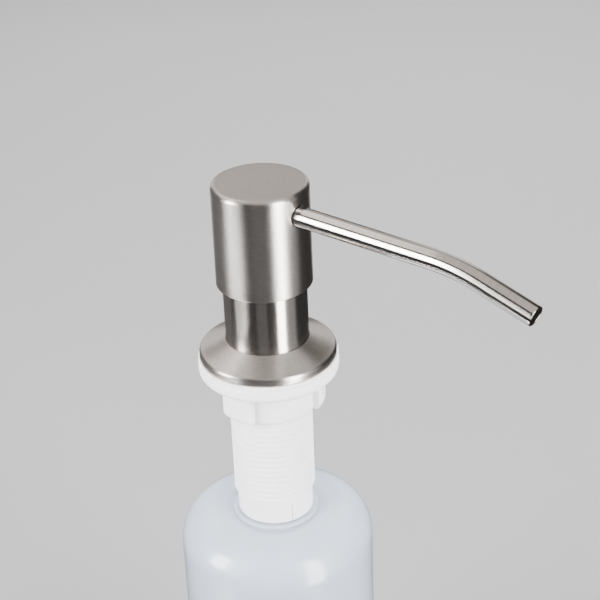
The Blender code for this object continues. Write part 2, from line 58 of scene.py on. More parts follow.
MM = 0.001
DECK_Z = 182.0
SEGMENTS = 160
SMALL_SEGMENTS = 96
HOLD = 0.25
SHARP = math.radians(32.0)
TOP_FACE_SLOPE = 0.97
ORIGIN = (0.0, 0.0, 0.0)
UP = (0.0, 0.0, 1.0)
LEVEL = (1.0, 1.0, 0.0)

Colour = tuple[float, float, float]


class Body(Enum):
    """The bodies that the pieces ride on."""

    BOTTLE = "bottle"
    BASE = "base"
    WASHER = "washer"
    NUT = "nut"
    PUMP = "pump"
    INTAKE = "intake_valve"
    PLUNGER = "plunger"
    HEAD = "head"
    OUTLET = "outlet_valve"


class Slot(Enum):
    """The record's material slots."""

    STEEL = "brushed_steel"
    SPRING = "spring_steel"
    WHITE = "white_plastic"
    NATURAL = "natural_plastic"
    CLEAR = "clear_plastic"
    PALE_RUBBER = "white_rubber"
    DARK_RUBBER = "dark_rubber"


class Lay(Enum):
    """The way a polishing line runs over the steel."""

    ROUND_AXIS = "round the pump's axis"
    ROUND_SPOUT = "round the spout"


# ---------------------------------------------------------------- finishes


class NodeBoard:
    """A new material with short calls that add and link its nodes."""

    def __init__(self, name: str) -> None:
        """Start a material called name with its Principled shader."""
        self.material = bpy.data.materials.new(name)
        self.material.use_nodes = True
        self.tree = self.material.node_tree
        self.shader = self.tree.nodes["Principled BSDF"]

    def add(self, kind: str, **settings: object) -> bpy.types.Node:
        """Add a node.

        Args:
            kind: The node's type, without its "ShaderNode" start.
            settings: Properties to set on it.

        Returns:
            The node.
        """
        node = self.tree.nodes.new("ShaderNode" + kind)
        for key, value in settings.items():
            setattr(node, key, value)
        return node

    def link(self, source: bpy.types.NodeSocket, target: bpy.types.NodeSocket) -> None:
        """Join two sockets."""
        self.tree.links.new(source, target)

    def place(self) -> bpy.types.NodeSocket:
        """The surface's own coordinates, in metres."""
        return self.add("TexCoord").outputs["Object"]

    def vector(
        self, operation: str, first: bpy.types.NodeSocket, second: object = None
    ) -> bpy.types.Node:
        """Add a vector sum.

        Args:
            operation: Name of the operation.
            first: Its first input.
            second: A socket or three numbers for its second input.

        Returns:
            The node.
        """
        node = self.add("VectorMath", operation=operation)
        self.link(first, node.inputs[0])
        if isinstance(second, bpy.types.NodeSocket):
            self.link(second, node.inputs[1])
        elif second is not None:
            node.inputs[1].default_value = second
        return node

    def noise(
        self, place: bpy.types.NodeSocket, scale: float, detail: float = 3.0, rough: float = 0.55
    ) -> bpy.types.NodeSocket:
        """A noise value between 0 and 1.

        Args:
            place: Coordinates it is read at.
            scale: Waves in a unit.
            detail: Number of finer layers.
            rough: Strength of the finer layers.

        Returns:
            The value's socket.
        """
        node = self.add("TexNoise")
        self.link(place, node.inputs["Vector"])
        node.inputs["Scale"].default_value = scale
        node.inputs["Detail"].default_value = detail
        node.inputs["Roughness"].default_value = rough
        return node.outputs["Fac"]

    def spread(self, value: bpy.types.NodeSocket, low: float, high: float) -> bpy.types.NodeSocket:
        """Spread a noise value over a range."""
        node = self.add("MapRange")
        self.link(value, node.inputs["Value"])
        node.inputs["From Min"].default_value = 0.25
        node.inputs["From Max"].default_value = 0.75
        node.inputs["To Min"].default_value = low
        node.inputs["To Max"].default_value = high
        return node.outputs["Result"]

    def blend(
        self, share: bpy.types.NodeSocket, first: Colour, second: Colour
    ) -> bpy.types.NodeSocket:
        """A colour between two, by a share that varies over the surface."""
        node = self.add("Mix", data_type="RGBA")
        self.link(share, node.inputs[0])
        node.inputs[6].default_value = (*first, 1.0)
        node.inputs[7].default_value = (*second, 1.0)
        return node.outputs[2]

    def bump(self, height: bpy.types.NodeSocket, strength: float, distance: float) -> None:
        """Give the shader a fine relief, distance in metres."""
        node = self.add("Bump")
        node.inputs["Strength"].default_value = strength
        node.inputs["Distance"].default_value = distance
        self.link(height, node.inputs["Height"])
        self.link(node.outputs["Normal"], self.shader.inputs["Normal"])

    def set(self, **values: object) -> None:
        """Set the shader's own sockets, with _ for a space in their names."""
        for key, value in values.items():
            self.shader.inputs[key.replace("_", " ")].default_value = value


def tinted(colour: Colour, factor: float) -> Colour:
    """A colour times a factor, at most 1 in each part."""
    return tuple(min(1.0, part * factor) for part in colour)


@dataclass(frozen=True)
class LinedSteel:
    """Stainless steel with the fine lines that a polishing belt leaves."""

    name: str
    colour: Colour = (0.62, 0.58, 0.545)
    roughness: tuple[float, float] = (0.26, 0.36)
    stretch: float = 0.7
    lay: Lay = Lay.ROUND_AXIS
    relief: float = 0.8
    contrast: float = 0.1
    relief_depth: float = 0.00007
    axis_lines: tuple[float, float, float] = (450.0, 450.0, 1600.0)
    spout_lines: tuple[float, float, float] = (1500.0, 20.0, 20.0)

    def lines(self, board: NodeBoard) -> bpy.types.NodeSocket:
        """Coordinates that run fast across the polishing lines and slowly along them.

        Args:
            board: The material's nodes.

        Returns:
            The coordinates' socket.
        """
        place = board.place()
        if self.lay is Lay.ROUND_SPOUT:
            return board.vector("MULTIPLY", place, self.spout_lines).outputs["Vector"]
        flat = board.vector("MULTIPLY", place, LEVEL).outputs["Vector"]
        reach = board.vector("LENGTH", flat).outputs["Value"]
        split = board.add("SeparateXYZ")
        board.link(place, split.inputs["Vector"])
        along = board.add("Math", operation="ADD")
        board.link(reach, along.inputs[0])
        board.link(split.outputs["Z"], along.inputs[1])
        joined = board.add("CombineXYZ")
        board.link(split.outputs["X"], joined.inputs["X"])
        board.link(split.outputs["Y"], joined.inputs["Y"])
        board.link(along.outputs["Value"], joined.inputs["Z"])
        scaled = board.vector("MULTIPLY", joined.outputs["Vector"], self.axis_lines)
        return scaled.outputs["Vector"]

    def tangent(self, board: NodeBoard) -> bpy.types.NodeSocket:
        """The direction in which a reflection is drawn out: across the polishing lines.

        Args:
            board: The material's nodes.

        Returns:
            The direction's socket.
        """
        normal = board.add("NewGeometry").outputs["Normal"]
        if self.lay is Lay.ROUND_SPOUT:
            axis = board.add("CombineXYZ")
            axis.inputs["X"].default_value = 1.0
            around = board.vector("CROSS_PRODUCT", normal, axis.outputs["Vector"]).outputs["Vector"]
        else:
            turned = board.vector("MULTIPLY", board.place(), LEVEL).outputs["Vector"]
            flat = board.vector("CROSS_PRODUCT", turned, UP).outputs["Vector"]
            change = board.add(
                "VectorTransform", vector_type="VECTOR", convert_from="OBJECT", convert_to="WORLD"
            )
            board.link(flat, change.inputs["Vector"])
            around = change.outputs["Vector"]
        across = board.vector("CROSS_PRODUCT", normal, around).outputs["Vector"]
        return board.vector("NORMALIZE", across).outputs["Vector"]

    def material(self) -> bpy.types.Material:
        """Build the material."""
        board = NodeBoard(self.name)
        lines = self.lines(board)
        coarse = board.noise(lines, 1.0, 4.0, 0.7)
        fine = board.noise(lines, 4.5, 2.0, 0.6)
        cloud = board.noise(board.place(), 55.0, 2.0, 0.5)
        dark = tinted(self.colour, 1.0 - self.contrast)
        light = tinted(self.colour, 1.0 + self.contrast)
        share = board.spread(coarse, 0.0, 1.0)
        board.link(board.blend(share, dark, light), board.shader.inputs["Base Color"])
        mixed = board.add("Math", operation="MULTIPLY_ADD")
        board.link(cloud, mixed.inputs[0])
        mixed.inputs[1].default_value = 0.5
        half = board.add("Math", operation="MULTIPLY")
        board.link(fine, half.inputs[0])
        half.inputs[1].default_value = 0.5
        board.link(half.outputs["Value"], mixed.inputs[2])
        rough = board.spread(mixed.outputs["Value"], *self.roughness)
        board.link(rough, board.shader.inputs["Roughness"])
        board.link(self.tangent(board), board.shader.inputs["Tangent"])
        board.set(Metallic=1.0, Anisotropic=self.stretch, IOR=2.5)
        board.bump(coarse, self.relief, self.relief_depth)
        return board.material


@dataclass(frozen=True)
class MouldedPlastic:
    """Injection-moulded or blown plastic with a faint cloudiness and a fine moulded grain."""

    name: str
    colour: Colour
    roughness: float = 0.4
    glow: float = 0.04
    depth: float = 0.0012
    see_through: float = 0.0
    cloud: float = 0.025
    grain: float = 0.05
    coat: float = 0.0

    def material(self) -> bpy.types.Material:
        """Build the material."""
        board = NodeBoard(self.name)
        place = board.place()
        cloud = board.noise(place, 70.0, 3.0, 0.5)
        grain = board.noise(place, 2200.0, 2.0, 0.5)
        share = board.spread(cloud, 0.0, 1.0)
        pair = tinted(self.colour, 1.0 - self.cloud), tinted(self.colour, 1.0 + self.cloud)
        board.link(board.blend(share, *pair), board.shader.inputs["Base Color"])
        rough = board.spread(cloud, self.roughness - 0.03, self.roughness + 0.03)
        board.link(rough, board.shader.inputs["Roughness"])
        board.set(
            IOR=1.5,
            Subsurface_Weight=self.glow,
            Subsurface_Radius=(1.0, 0.95, 0.9),
            Subsurface_Scale=self.depth,
            Transmission_Weight=self.see_through,
            Coat_Weight=self.coat,
            Coat_Roughness=0.11,
        )
        board.bump(grain, self.grain, 0.00004)
        return board.material


@dataclass(frozen=True)
class SoftRubber:
    """Matt rubber with a dusty, slightly uneven skin."""

    name: str
    colour: Colour
    roughness: float = 0.65

    def material(self) -> bpy.types.Material:
        """Build the material."""
        board = NodeBoard(self.name)
        place = board.place()
        dust = board.noise(place, 420.0, 4.0, 0.6)
        pair = tinted(self.colour, 0.9), tinted(self.colour, 1.12)
        share = board.spread(dust, 0.0, 1.0)
        board.link(board.blend(share, *pair), board.shader.inputs["Base Color"])
        rough = board.spread(dust, self.roughness - 0.08, self.roughness + 0.1)
        board.link(rough, board.shader.inputs["Roughness"])
        board.set(IOR=1.52, Sheen_Weight=0.08, Sheen_Roughness=0.5)
        board.bump(board.noise(place, 3000.0, 2.0, 0.5), 0.15, 0.00004)
        return board.material


@dataclass(frozen=True)
class DrawnSteel:
    """Bright spring and ball steel with a faint drawn grain."""

    name: str
    colour: Colour = (0.6, 0.6, 0.61)
    roughness: tuple[float, float] = (0.18, 0.3)

    def material(self) -> bpy.types.Material:
        """Build the material."""
        board = NodeBoard(self.name)
        grain = board.noise(board.place(), 900.0, 3.0, 0.6)
        pair = tinted(self.colour, 0.88), tinted(self.colour, 1.06)
        share = board.spread(grain, 0.0, 1.0)
        board.link(board.blend(share, *pair), board.shader.inputs["Base Color"])
        board.link(board.spread(grain, *self.roughness), board.shader.inputs["Roughness"])
        board.set(Metallic=1.0, IOR=2.5)
        board.bump(grain, 0.08, 0.00002)
        return board.material


class Finish(NamedTuple):
    """A material and the record's slot that it belongs to."""

    material: bpy.types.Material
    slot: Slot


@dataclass(frozen=True)
class Finishes:
    """Every finish on the pump, made once."""

    head_wall: Finish
    head_top: Finish
    collar: Finish
    flange: Finish
    spout: Finish
    white: Finish
    natural: Finish
    clear: Finish
    pale_rubber: Finish
    dark_rubber: Finish
    spring: Finish

    @classmethod
    def make(cls) -> "Finishes":
        """Build all the materials."""
        wall = LinedSteel("satin_head_wall", roughness=(0.28, 0.38), stretch=0.8)
        top = LinedSteel("satin_head_top", roughness=(0.36, 0.44), stretch=0.0)
        collar = LinedSteel("polished_collar", roughness=(0.2, 0.27), stretch=0.9, relief=0.1)
        flange = LinedSteel("satin_flange", roughness=(0.3, 0.38), stretch=0.7, relief=0.25)
        spout = LinedSteel(
            "polished_spout", roughness=(0.14, 0.2), stretch=0.5, lay=Lay.ROUND_SPOUT, relief=0.08
        )
        white = MouldedPlastic("white_moulding", (0.86, 0.85, 0.875), roughness=0.42)
        natural = MouldedPlastic(
            "natural_blow_moulding",
            (0.51, 0.575, 0.67),
            roughness=0.3,
            glow=0.3,
            see_through=0.25,
            coat=0.8,
        )
        clear = MouldedPlastic(
            "clear_tube", (0.84, 0.88, 0.92), roughness=0.2, glow=0.05, see_through=0.75
        )
        pale, dark = (0.82, 0.81, 0.83), (0.028, 0.028, 0.03)
        return cls(
            head_wall=Finish(wall.material(), Slot.STEEL),
            head_top=Finish(top.material(), Slot.STEEL),
            collar=Finish(collar.material(), Slot.STEEL),
            flange=Finish(flange.material(), Slot.STEEL),
            spout=Finish(spout.material(), Slot.STEEL),
            white=Finish(white.material(), Slot.WHITE),
            natural=Finish(natural.material(), Slot.NATURAL),
            clear=Finish(clear.material(), Slot.CLEAR),
            pale_rubber=Finish(SoftRubber("pale_rubber", pale).material(), Slot.PALE_RUBBER),
            dark_rubber=Finish(SoftRubber("dark_rubber", dark).material(), Slot.DARK_RUBBER),
            spring=Finish(DrawnSteel("bright_spring_steel").material(), Slot.SPRING),
        )


# ---------------------------------------------------------------- making the pieces


class Corner(NamedTuple):
    """A corner of a turned section: its distance from the axis, height and rounding."""

    r: float
    z: float
    rounding: float = 0.0


class ThreadForm(NamedTuple):
    """A screw thread.

    It gives the radius between the ridges and on them, the width of a ridge at its crest and foot,
    the pitch, and the height of a ridge at 0 degrees.
    """

    valley_r: float
    crest_r: float
    crest_width: float
    foot_width: float
    pitch: float = 2.0
    phase: float = 0.0
    rounding: float = 0.14


def wire(
    bm: bmesh.types.BMesh, corners: Sequence[Corner], closed: bool
) -> list[bmesh.types.BMVert]:
    """Draw a section in the XZ plane and round its corners.

    Args:
        bm: The mesh to draw in.
        corners: The section's corners in order.
        closed: Whether the last corner joins the first.

    Returns:
        All the section's vertices.
    """
    verts = [bm.verts.new((corner.r, 0.0, corner.z)) for corner in corners]
    pairs = list(zip(verts, verts[1:]))
    if closed:
        pairs.append((verts[-1], verts[0]))
    for pair in pairs:
        bm.edges.new(pair)
    for vert, corner in zip(verts, corners):
        if corner.rounding > 0.0:
            bmesh.ops.bevel(
                bm,
                geom=[vert],
                offset=corner.rounding,
                offset_type="OFFSET",
                segments=min(24, 4 + int(corner.rounding * 3.0)),
                profile=0.5,
                affect="VERTICES",
                material=-1,
            )
    return bm.verts[:]


class Workpiece:
    """A mesh in the making, in millimetres, with heights from the deck."""

    def __init__(self) -> None:
        """Start with nothing."""
        self.bm = bmesh.new()

    @classmethod
    def turned(
        cls,
        corners: Sequence[Corner],
        closed: bool = True,
        segments: int = SEGMENTS,
        first: float = 0.0,
        hold: bool = True,
    ) -> "Workpiece":
        """Turn a section round the Z axis.

        Args:
            corners: The section's corners; one that starts and ends on the axis isn't closed.
            closed: Whether the section is a loop.
            segments: Steps in the full turn.
            first: Azimuth of the first step, in degrees.
            hold: Whether its long lines get a vertex close to each end.

        Returns:
            The turned piece.
        """
        work = cls()
        wire(work.bm, corners, closed)
        if hold:
            work.hold_corners()
        turn = Matrix.Rotation(math.radians(first), 3, "Z")
        bmesh.ops.rotate(work.bm, verts=work.bm.verts, cent=ORIGIN, matrix=turn)
        work.spin_full(segments)
        return work

    @classmethod
    def ring(cls, radius: float, thickness: float, height: float, sides: int = 20) -> "Workpiece":
        """A round-section ring about the Z axis: mean radius, half thickness and height."""
        work = cls()
        turn = Matrix.Translation((radius, 0.0, height)) @ Matrix.Rotation(math.pi / 2, 4, "X")
        bmesh.ops.create_circle(
            work.bm, cap_ends=False, segments=sides, radius=thickness, matrix=turn
        )
        work.spin_full(SMALL_SEGMENTS)
        return work

    @classmethod
    def ball(cls, radius: float, height: float) -> "Workpiece":
        """A ball on the Z axis."""
        work = cls()
        place = Matrix.Translation((0.0, 0.0, height))
        bmesh.ops.create_icosphere(work.bm, subdivisions=4, radius=radius, matrix=place)
        return work

    @classmethod
    def rod(cls, radius: float, start: Vector, end: Vector, segments: int = 96) -> "Workpiece":
        """A solid rod between two points."""
        work = cls()
        line = Vector(end) - Vector(start)
        turn = line.to_track_quat("Z", "Y").to_matrix().to_4x4()
        place = Matrix.Translation((Vector(start) + Vector(end)) / 2) @ turn
        bmesh.ops.create_cone(
            work.bm,
            cap_ends=True,
            segments=segments,
            radius1=radius,
            radius2=radius,
            depth=line.length,
            matrix=place,
        )
        return work

    @classmethod
    def block(cls, centre: Vector, size: Vector, turn: float, rounding: float = 0.0) -> "Workpiece":
        """A block with rounded edges, turned about the Z axis by degrees."""
        work = cls()
        place = Matrix.Rotation(math.radians(turn), 4, "Z") @ Matrix.Translation(centre)
        bmesh.ops.create_cube(work.bm, size=1.0, matrix=place @ Matrix.Diagonal((*size, 1.0)))
        if rounding:
            work.round_edges(work.bm.edges[:], rounding, 3)
        return work

    def spin_full(self, segments: int) -> None:
        """Spin everything through a full turn round the Z axis and close the seam."""
        bmesh.ops.spin(
            self.bm,
            geom=self.bm.verts[:] + self.bm.edges[:],
            cent=ORIGIN,
            axis=UP,
            dvec=ORIGIN,
            angle=math.tau,
            steps=segments,
            use_merge=True,
            use_duplicate=False,
        )
        bmesh.ops.remove_doubles(self.bm, verts=self.bm.verts, dist=1e-4)

    def hold_corners(self) -> None:
        """Add a vertex close to each end of the section's long lines, so that they shade flat."""
        for edge in [edge for edge in self.bm.edges if edge.calc_length() > 5.0 * HOLD]:
            for vert in edge.verts[:]:
                bmesh.utils.edge_split(edge, vert, HOLD / edge.calc_length())

    def round_edges(
        self, edges: Sequence[bmesh.types.BMEdge], radius: float, segments: int
    ) -> None:
        """Round some edges."""
        bmesh.ops.bevel(
            self.bm,
            geom=list(edges),
            offset=radius,
            offset_type="OFFSET",
            segments=segments,
            profile=0.5,
            affect="EDGES",
            material=-1,
            clamp_overlap=True,
        )

    def edge_loop(self, height: float) -> list[bmesh.types.BMEdge]:
        """The open edges that lie at a height."""
        return [
            edge
            for edge in self.bm.edges
            if edge.is_boundary and all(abs(vert.co.z - height) < 1e-3 for vert in edge.verts)
        ]

    def add_thread(self, form: ThreadForm, low: float, high: float, steps: int = 96) -> None:
        """Add a band of screw thread, open at both ends.

        Args:
            form: The thread.
            low: Height of its lower end.
            high: Height of its upper end.
            steps: Steps in a turn.
        """
        band = bmesh.new()
        half = form.pitch / 2.0
        section = [
            Corner(form.valley_r, -half),
            Corner(form.valley_r, -form.foot_width / 2.0, form.rounding),
            Corner(form.crest_r, -form.crest_width / 2.0, form.rounding),
            Corner(form.crest_r, form.crest_width / 2.0, form.rounding),
            Corner(form.valley_r, form.foot_width / 2.0, form.rounding),
            Corner(form.valley_r, half),
        ]
        wire(band, section, closed=False)
        first = (math.floor((low - form.phase) / form.pitch) - 1) * form.pitch + form.phase
        bmesh.ops.translate(band, verts=band.verts, vec=(0.0, 0.0, first))
        bmesh.ops.spin(
            band,
            geom=band.verts[:] + band.edges[:],
            cent=ORIGIN,
            axis=UP,
            dvec=(0.0, 0.0, form.pitch / steps),
            angle=math.tau,
            steps=steps,
            use_duplicate=False,
        )
        turn = band.verts[:] + band.edges[:] + band.faces[:]
        for index in range(1, math.ceil((high - first) / form.pitch) + 1):
            made = bmesh.ops.duplicate(band, geom=turn)["geom"]
            verts = [item for item in made if isinstance(item, bmesh.types.BMVert)]
            bmesh.ops.translate(band, verts=verts, vec=(0.0, 0.0, index * form.pitch))
        bmesh.ops.remove_doubles(band, verts=band.verts, dist=1e-3)
        for height, upper in ((low, False), (high, True)):
            bmesh.ops.bisect_plane(
                band,
                geom=band.verts[:] + band.edges[:] + band.faces[:],
                dist=1e-5,
                plane_co=(0.0, 0.0, height),
                plane_no=UP,
                clear_outer=upper,
                clear_inner=not upper,
            )
        copied = bpy.data.meshes.new("thread_band")
        band.to_mesh(copied)
        band.free()
        self.bm.from_mesh(copied)
        bpy.data.meshes.remove(copied)

    def bridge(self, first: float, second: float) -> None:
        """Join the open loops at two heights."""
        bmesh.ops.bridge_loops(self.bm, edges=self.edge_loop(first) + self.edge_loop(second))

    def mesh(self, name: str) -> bpy.types.Mesh:
        """Close the work and turn it into a mesh, still in millimetres."""
        bmesh.ops.remove_doubles(self.bm, verts=self.bm.verts, dist=1e-4)
        bmesh.ops.recalc_face_normals(self.bm, faces=self.bm.faces)
        made = bpy.data.meshes.new(name)
        self.bm.to_mesh(made)
        self.bm.free()
        return made

    def carved(self, *tools: "Workpiece") -> "Workpiece":
        """Cut the shapes of some tools out of the work.

        Args:
            tools: Closed workpieces.

        Returns:
            The cut work.
        """
        link = bpy.context.scene.collection.objects.link
        target = bpy.data.objects.new("uncut", self.mesh("uncut"))
        link(target)
        helpers = []
        for tool in tools:
            helper = bpy.data.objects.new("tool", tool.mesh("tool"))
            link(helper)
            helpers.append(helper)
            step = target.modifiers.new("Cut", "BOOLEAN")
            step.operation = "DIFFERENCE"
            step.solver = "EXACT"
            step.object = helper
        ready = target.evaluated_get(bpy.context.evaluated_depsgraph_get())
        cut = Workpiece()
        cut.bm.from_mesh(ready.to_mesh())
        ready.to_mesh_clear()
        for obj in (target, *helpers):
            mesh = obj.data
            bpy.data.objects.remove(obj)
            bpy.data.meshes.remove(mesh)
        return cut


class Assembly:
    """Common work of a sub-assembly: it places, dresses and mounts its pieces."""

    def __init__(self, finishes: Finishes) -> None:
        """Keep the finishes that the pieces are dressed in."""
        self.finishes = finishes

    @staticmethod
    def fit(
        work: Workpiece, name: str, node: str, body: Body, finish: Finish
    ) -> bpy.types.Object:
        """Make a workpiece a finished piece.

        Args:
            work: The workpiece.
            name: The piece's name.
            node: The CAD node that it stands for.
            body: The body that it rides on.
            finish: Its material and the record's slot.

        Returns:
            The piece.
        """
        mesh = work.mesh(name)
        to_metres = Matrix.Diagonal((MM, MM, MM, 1.0))
        mesh.transform(to_metres @ Matrix.Translation((0.0, 0.0, DECK_Z)))
        mesh.materials.append(finish.material)
        for face in mesh.polygons:
            face.use_smooth = True
        mesh.set_sharp_from_angle(angle=SHARP)
        piece = bpy.data.objects.new(name, mesh)
        bpy.context.scene.collection.objects.link(piece)
        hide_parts(node)
        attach(piece, body.value)
        LOG.info("%s stands for %s on %s: %d faces", name, node, body.value, len(mesh.polygons))
        return piece


@dataclass(frozen=True)
class HeadSizes:
    """Sizes of the steel head, its insert and the stem."""

    radius: float = 15.6
    wall: float = 1.0
    base_z: float = 26.6
    top_z: float = 61.0
    edge: float = 1.6
    core_r: float = 14.3
    core_base_z: float = 46.4
    core_top_z: float = 59.5
    stem_r: float = 3.0
    stem_bore_r: float = 1.3
    stem_top_z: float = 50.3
    stem_foot_z: float = 7.5
    seat_z: float = 45.6


@dataclass(frozen=True)
class SpoutSizes:
    """Sizes of the bent spout tube."""

    radius: float = 3.25
    bore_r: float = 2.55
    z: float = 53.4
    inner_x: float = 5.8
    bend_x: float = 65.5
    bend_r: float = 60.0
    bend_angle: float = 16.1
    tip_length: float = 19.0
    sides: int = 72


class Head(Assembly):
    """Everything that turns above the plunger: steel head, insert, stem and spout."""

    sizes = HeadSizes()
    tube = SpoutSizes()

    def build(self) -> None:
        """Build and dress every piece of the head."""
        self.shell()
        self.insert()
        self.stem()
        self.spout()
        self.seal()

    def shell(self) -> None:
        """Deep-drawn cap with a small rounded edge, a rolled hem and a hole for the spout."""
        size, tube = self.sizes, self.tube
        bore = size.radius - size.wall
        under = size.top_z - 1.2
        work = Workpiece.turned(
            [
                Corner(0.0, size.top_z),
                Corner(size.radius, size.top_z, size.edge),
                Corner(size.radius, size.base_z, 0.25),
                Corner(bore, size.base_z, 0.2),
                Corner(bore, under, 0.8),
                Corner(0.0, under),
            ],
            closed=False,
        )
        hole = Workpiece.rod(tube.radius + 0.3, (10.0, 0.0, tube.z), (20.0, 0.0, tube.z))
        piece = self.fit(
            work.carved(hole), "head_shell_steel", "head_shell", Body.HEAD, self.finishes.head_wall
        )
        piece.data.materials.append(self.finishes.head_top.material)
        for face in piece.data.polygons:
            if face.normal.z > TOP_FACE_SLOPE:
                face.material_index = 1

    def insert(self) -> None:
        """Plastic insert that joins the stem to the spout."""
        size, tube = self.sizes, self.tube
        work = Workpiece.turned(
            [
                Corner(0.0, size.core_top_z),
                Corner(size.core_r, size.core_top_z, 0.5),
                Corner(size.core_r, size.core_base_z, 0.4),
                Corner(12.4, size.core_base_z, 0.3),
                Corner(12.4, size.core_base_z + 1.2, 0.4),
                Corner(5.4, size.core_base_z + 1.2, 0.4),
                Corner(5.4, size.core_base_z, 0.3),
                Corner(0.0, size.core_base_z),
            ],
            closed=False,
            segments=SMALL_SEGMENTS,
        )
        base, top = size.core_base_z, size.stem_top_z + 0.3
        cut = work.carved(
            Workpiece.rod(3.25, (0, 0, base - 2.0), (0, 0, top), 64),
            Workpiece.rod(1.5, (0, 0, top - 1.0), (0, 0, tube.z + 0.3), 48),
            Workpiece.rod(2.2, (-1.9, 0, tube.z), (7.0, 0, tube.z), 48),
            Workpiece.rod(3.5, (tube.inner_x - 0.3, 0, tube.z), (16.0, 0, tube.z), 64),
            Workpiece.rod(4.7, (8.2, 0, tube.z), (9.8, 0, tube.z), 64),
        )
        self.fit(cut, "head_insert", "head_core", Body.HEAD, self.finishes.white)

    def stem(self) -> None:
        """Hollow stem with the outlet ball's chamber at its top."""
        size = self.sizes
        work = Workpiece.turned(
            [
                Corner(2.25, size.stem_top_z, 0.15),
                Corner(size.stem_r, size.stem_top_z, 0.25),
                Corner(size.stem_r, size.stem_foot_z + 1.7, 0.0),
                Corner(4.4, size.stem_foot_z + 1.7, 0.2),
                Corner(4.4, size.stem_foot_z, 0.2),
                Corner(size.stem_bore_r, size.stem_foot_z, 0.2),
                Corner(size.stem_bore_r, size.seat_z, 0.2),
                Corner(2.25, size.seat_z),
            ],
            segments=64,
        )
        self.fit(work, "hollow_stem", "stem", Body.HEAD, self.finishes.white)

    def spout(self) -> None:
        """Thin-walled tube: straight, one gentle bend, straight to a tip with a smoothed lip."""
        tube = self.tube
        work = Workpiece()
        start = Matrix.Translation((tube.inner_x, 0.0, tube.z))
        place = start @ Matrix.Rotation(math.pi / 2, 4, "Y")
        bmesh.ops.create_circle(
            work.bm, cap_ends=True, segments=tube.sides, radius=tube.radius, matrix=place
        )
        disc = work.bm.faces[:]
        wall = tube.radius - tube.bore_r
        end = bmesh.ops.inset_region(
            work.bm, faces=disc, thickness=wall, use_boundary=True
        )["faces"]
        bmesh.ops.delete(work.bm, geom=disc, context="FACES")
        fall = Matrix.Rotation(math.radians(tube.bend_angle), 3, "Y") @ Vector((1.0, 0.0, 0.0))
        inside = []
        for step in range(4):
            end = self.pulled(work, end, Vector(((tube.bend_x - tube.inner_x) / 4.0, 0.0, 0.0)))
            inside += end
        end = self.bent(work, end)
        inside += end
        end = self.pulled(work, end, fall * (tube.tip_length - 0.6))
        inside += end
        end = self.pulled(work, end, fall * 0.6)
        bmesh.ops.delete(work.bm, geom=inside, context="FACES")
        rim = [edge for edge in work.bm.edges if sum(face in end for face in edge.link_faces) == 1]
        work.round_edges(rim, 0.22, 4)
        self.fit(work, "spout", "spout_tube", Body.HEAD, self.finishes.spout)

    @staticmethod
    def pulled(
        work: Workpiece, faces: list[bmesh.types.BMFace], offset: Vector
    ) -> list[bmesh.types.BMFace]:
        """Extrude the tube's end straight on and return the new end."""
        made = bmesh.ops.extrude_face_region(work.bm, geom=faces)["geom"]
        verts = [item for item in made if isinstance(item, bmesh.types.BMVert)]
        bmesh.ops.translate(work.bm, verts=verts, vec=offset)
        return [item for item in made if isinstance(item, bmesh.types.BMFace)]

    def bent(self, work: Workpiece, faces: list[bmesh.types.BMFace]) -> list[bmesh.types.BMFace]:
        """Sweep the tube's end round the bend and return the new end."""
        tube = self.tube
        made = bmesh.ops.spin(
            work.bm,
            geom=faces,
            cent=(tube.bend_x, 0.0, tube.z - tube.bend_r),
            axis=(0.0, 1.0, 0.0),
            dvec=ORIGIN,
            angle=math.radians(tube.bend_angle),
            steps=24,
            use_duplicate=False,
        )["geom_last"]
        return [item for item in made if isinstance(item, bmesh.types.BMFace)]

    def seal(self) -> None:
        """Seal round the spout inside the insert."""
        work = Workpiece.ring(3.98, 0.5, 0.0)
        place = Matrix.Translation((9.0, 0.0, self.tube.z)) @ Matrix.Rotation(math.pi / 2, 4, "Y")
        bmesh.ops.transform(work.bm, matrix=place, verts=work.bm.verts)
        self.fit(
            work, "spout_seal", "spout_o_ring", Body.HEAD, self.finishes.dark_rubber
        )


@dataclass(frozen=True)
class BaseSizes:
    """Sizes of the flange, collar and threaded shank."""

    flange_r: float = 22.5
    flange_bore_r: float = 13.75
    rim_z: float = 2.95
    crown_z: float = 6.6
    sleeve_r: float = 13.65
    sleeve_bore_r: float = 12.65
    sleeve_top_z: float = 29.4
    plain_r: float = 12.7
    bore_r: float = 11.0
    thread_top_z: float = -8.0
    thread_end_z: float = -51.2
    end_z: float = -60.0
    ledge_z: float = -46.2
    ledge_r: float = 9.4
    slot_turn: float = -24.5


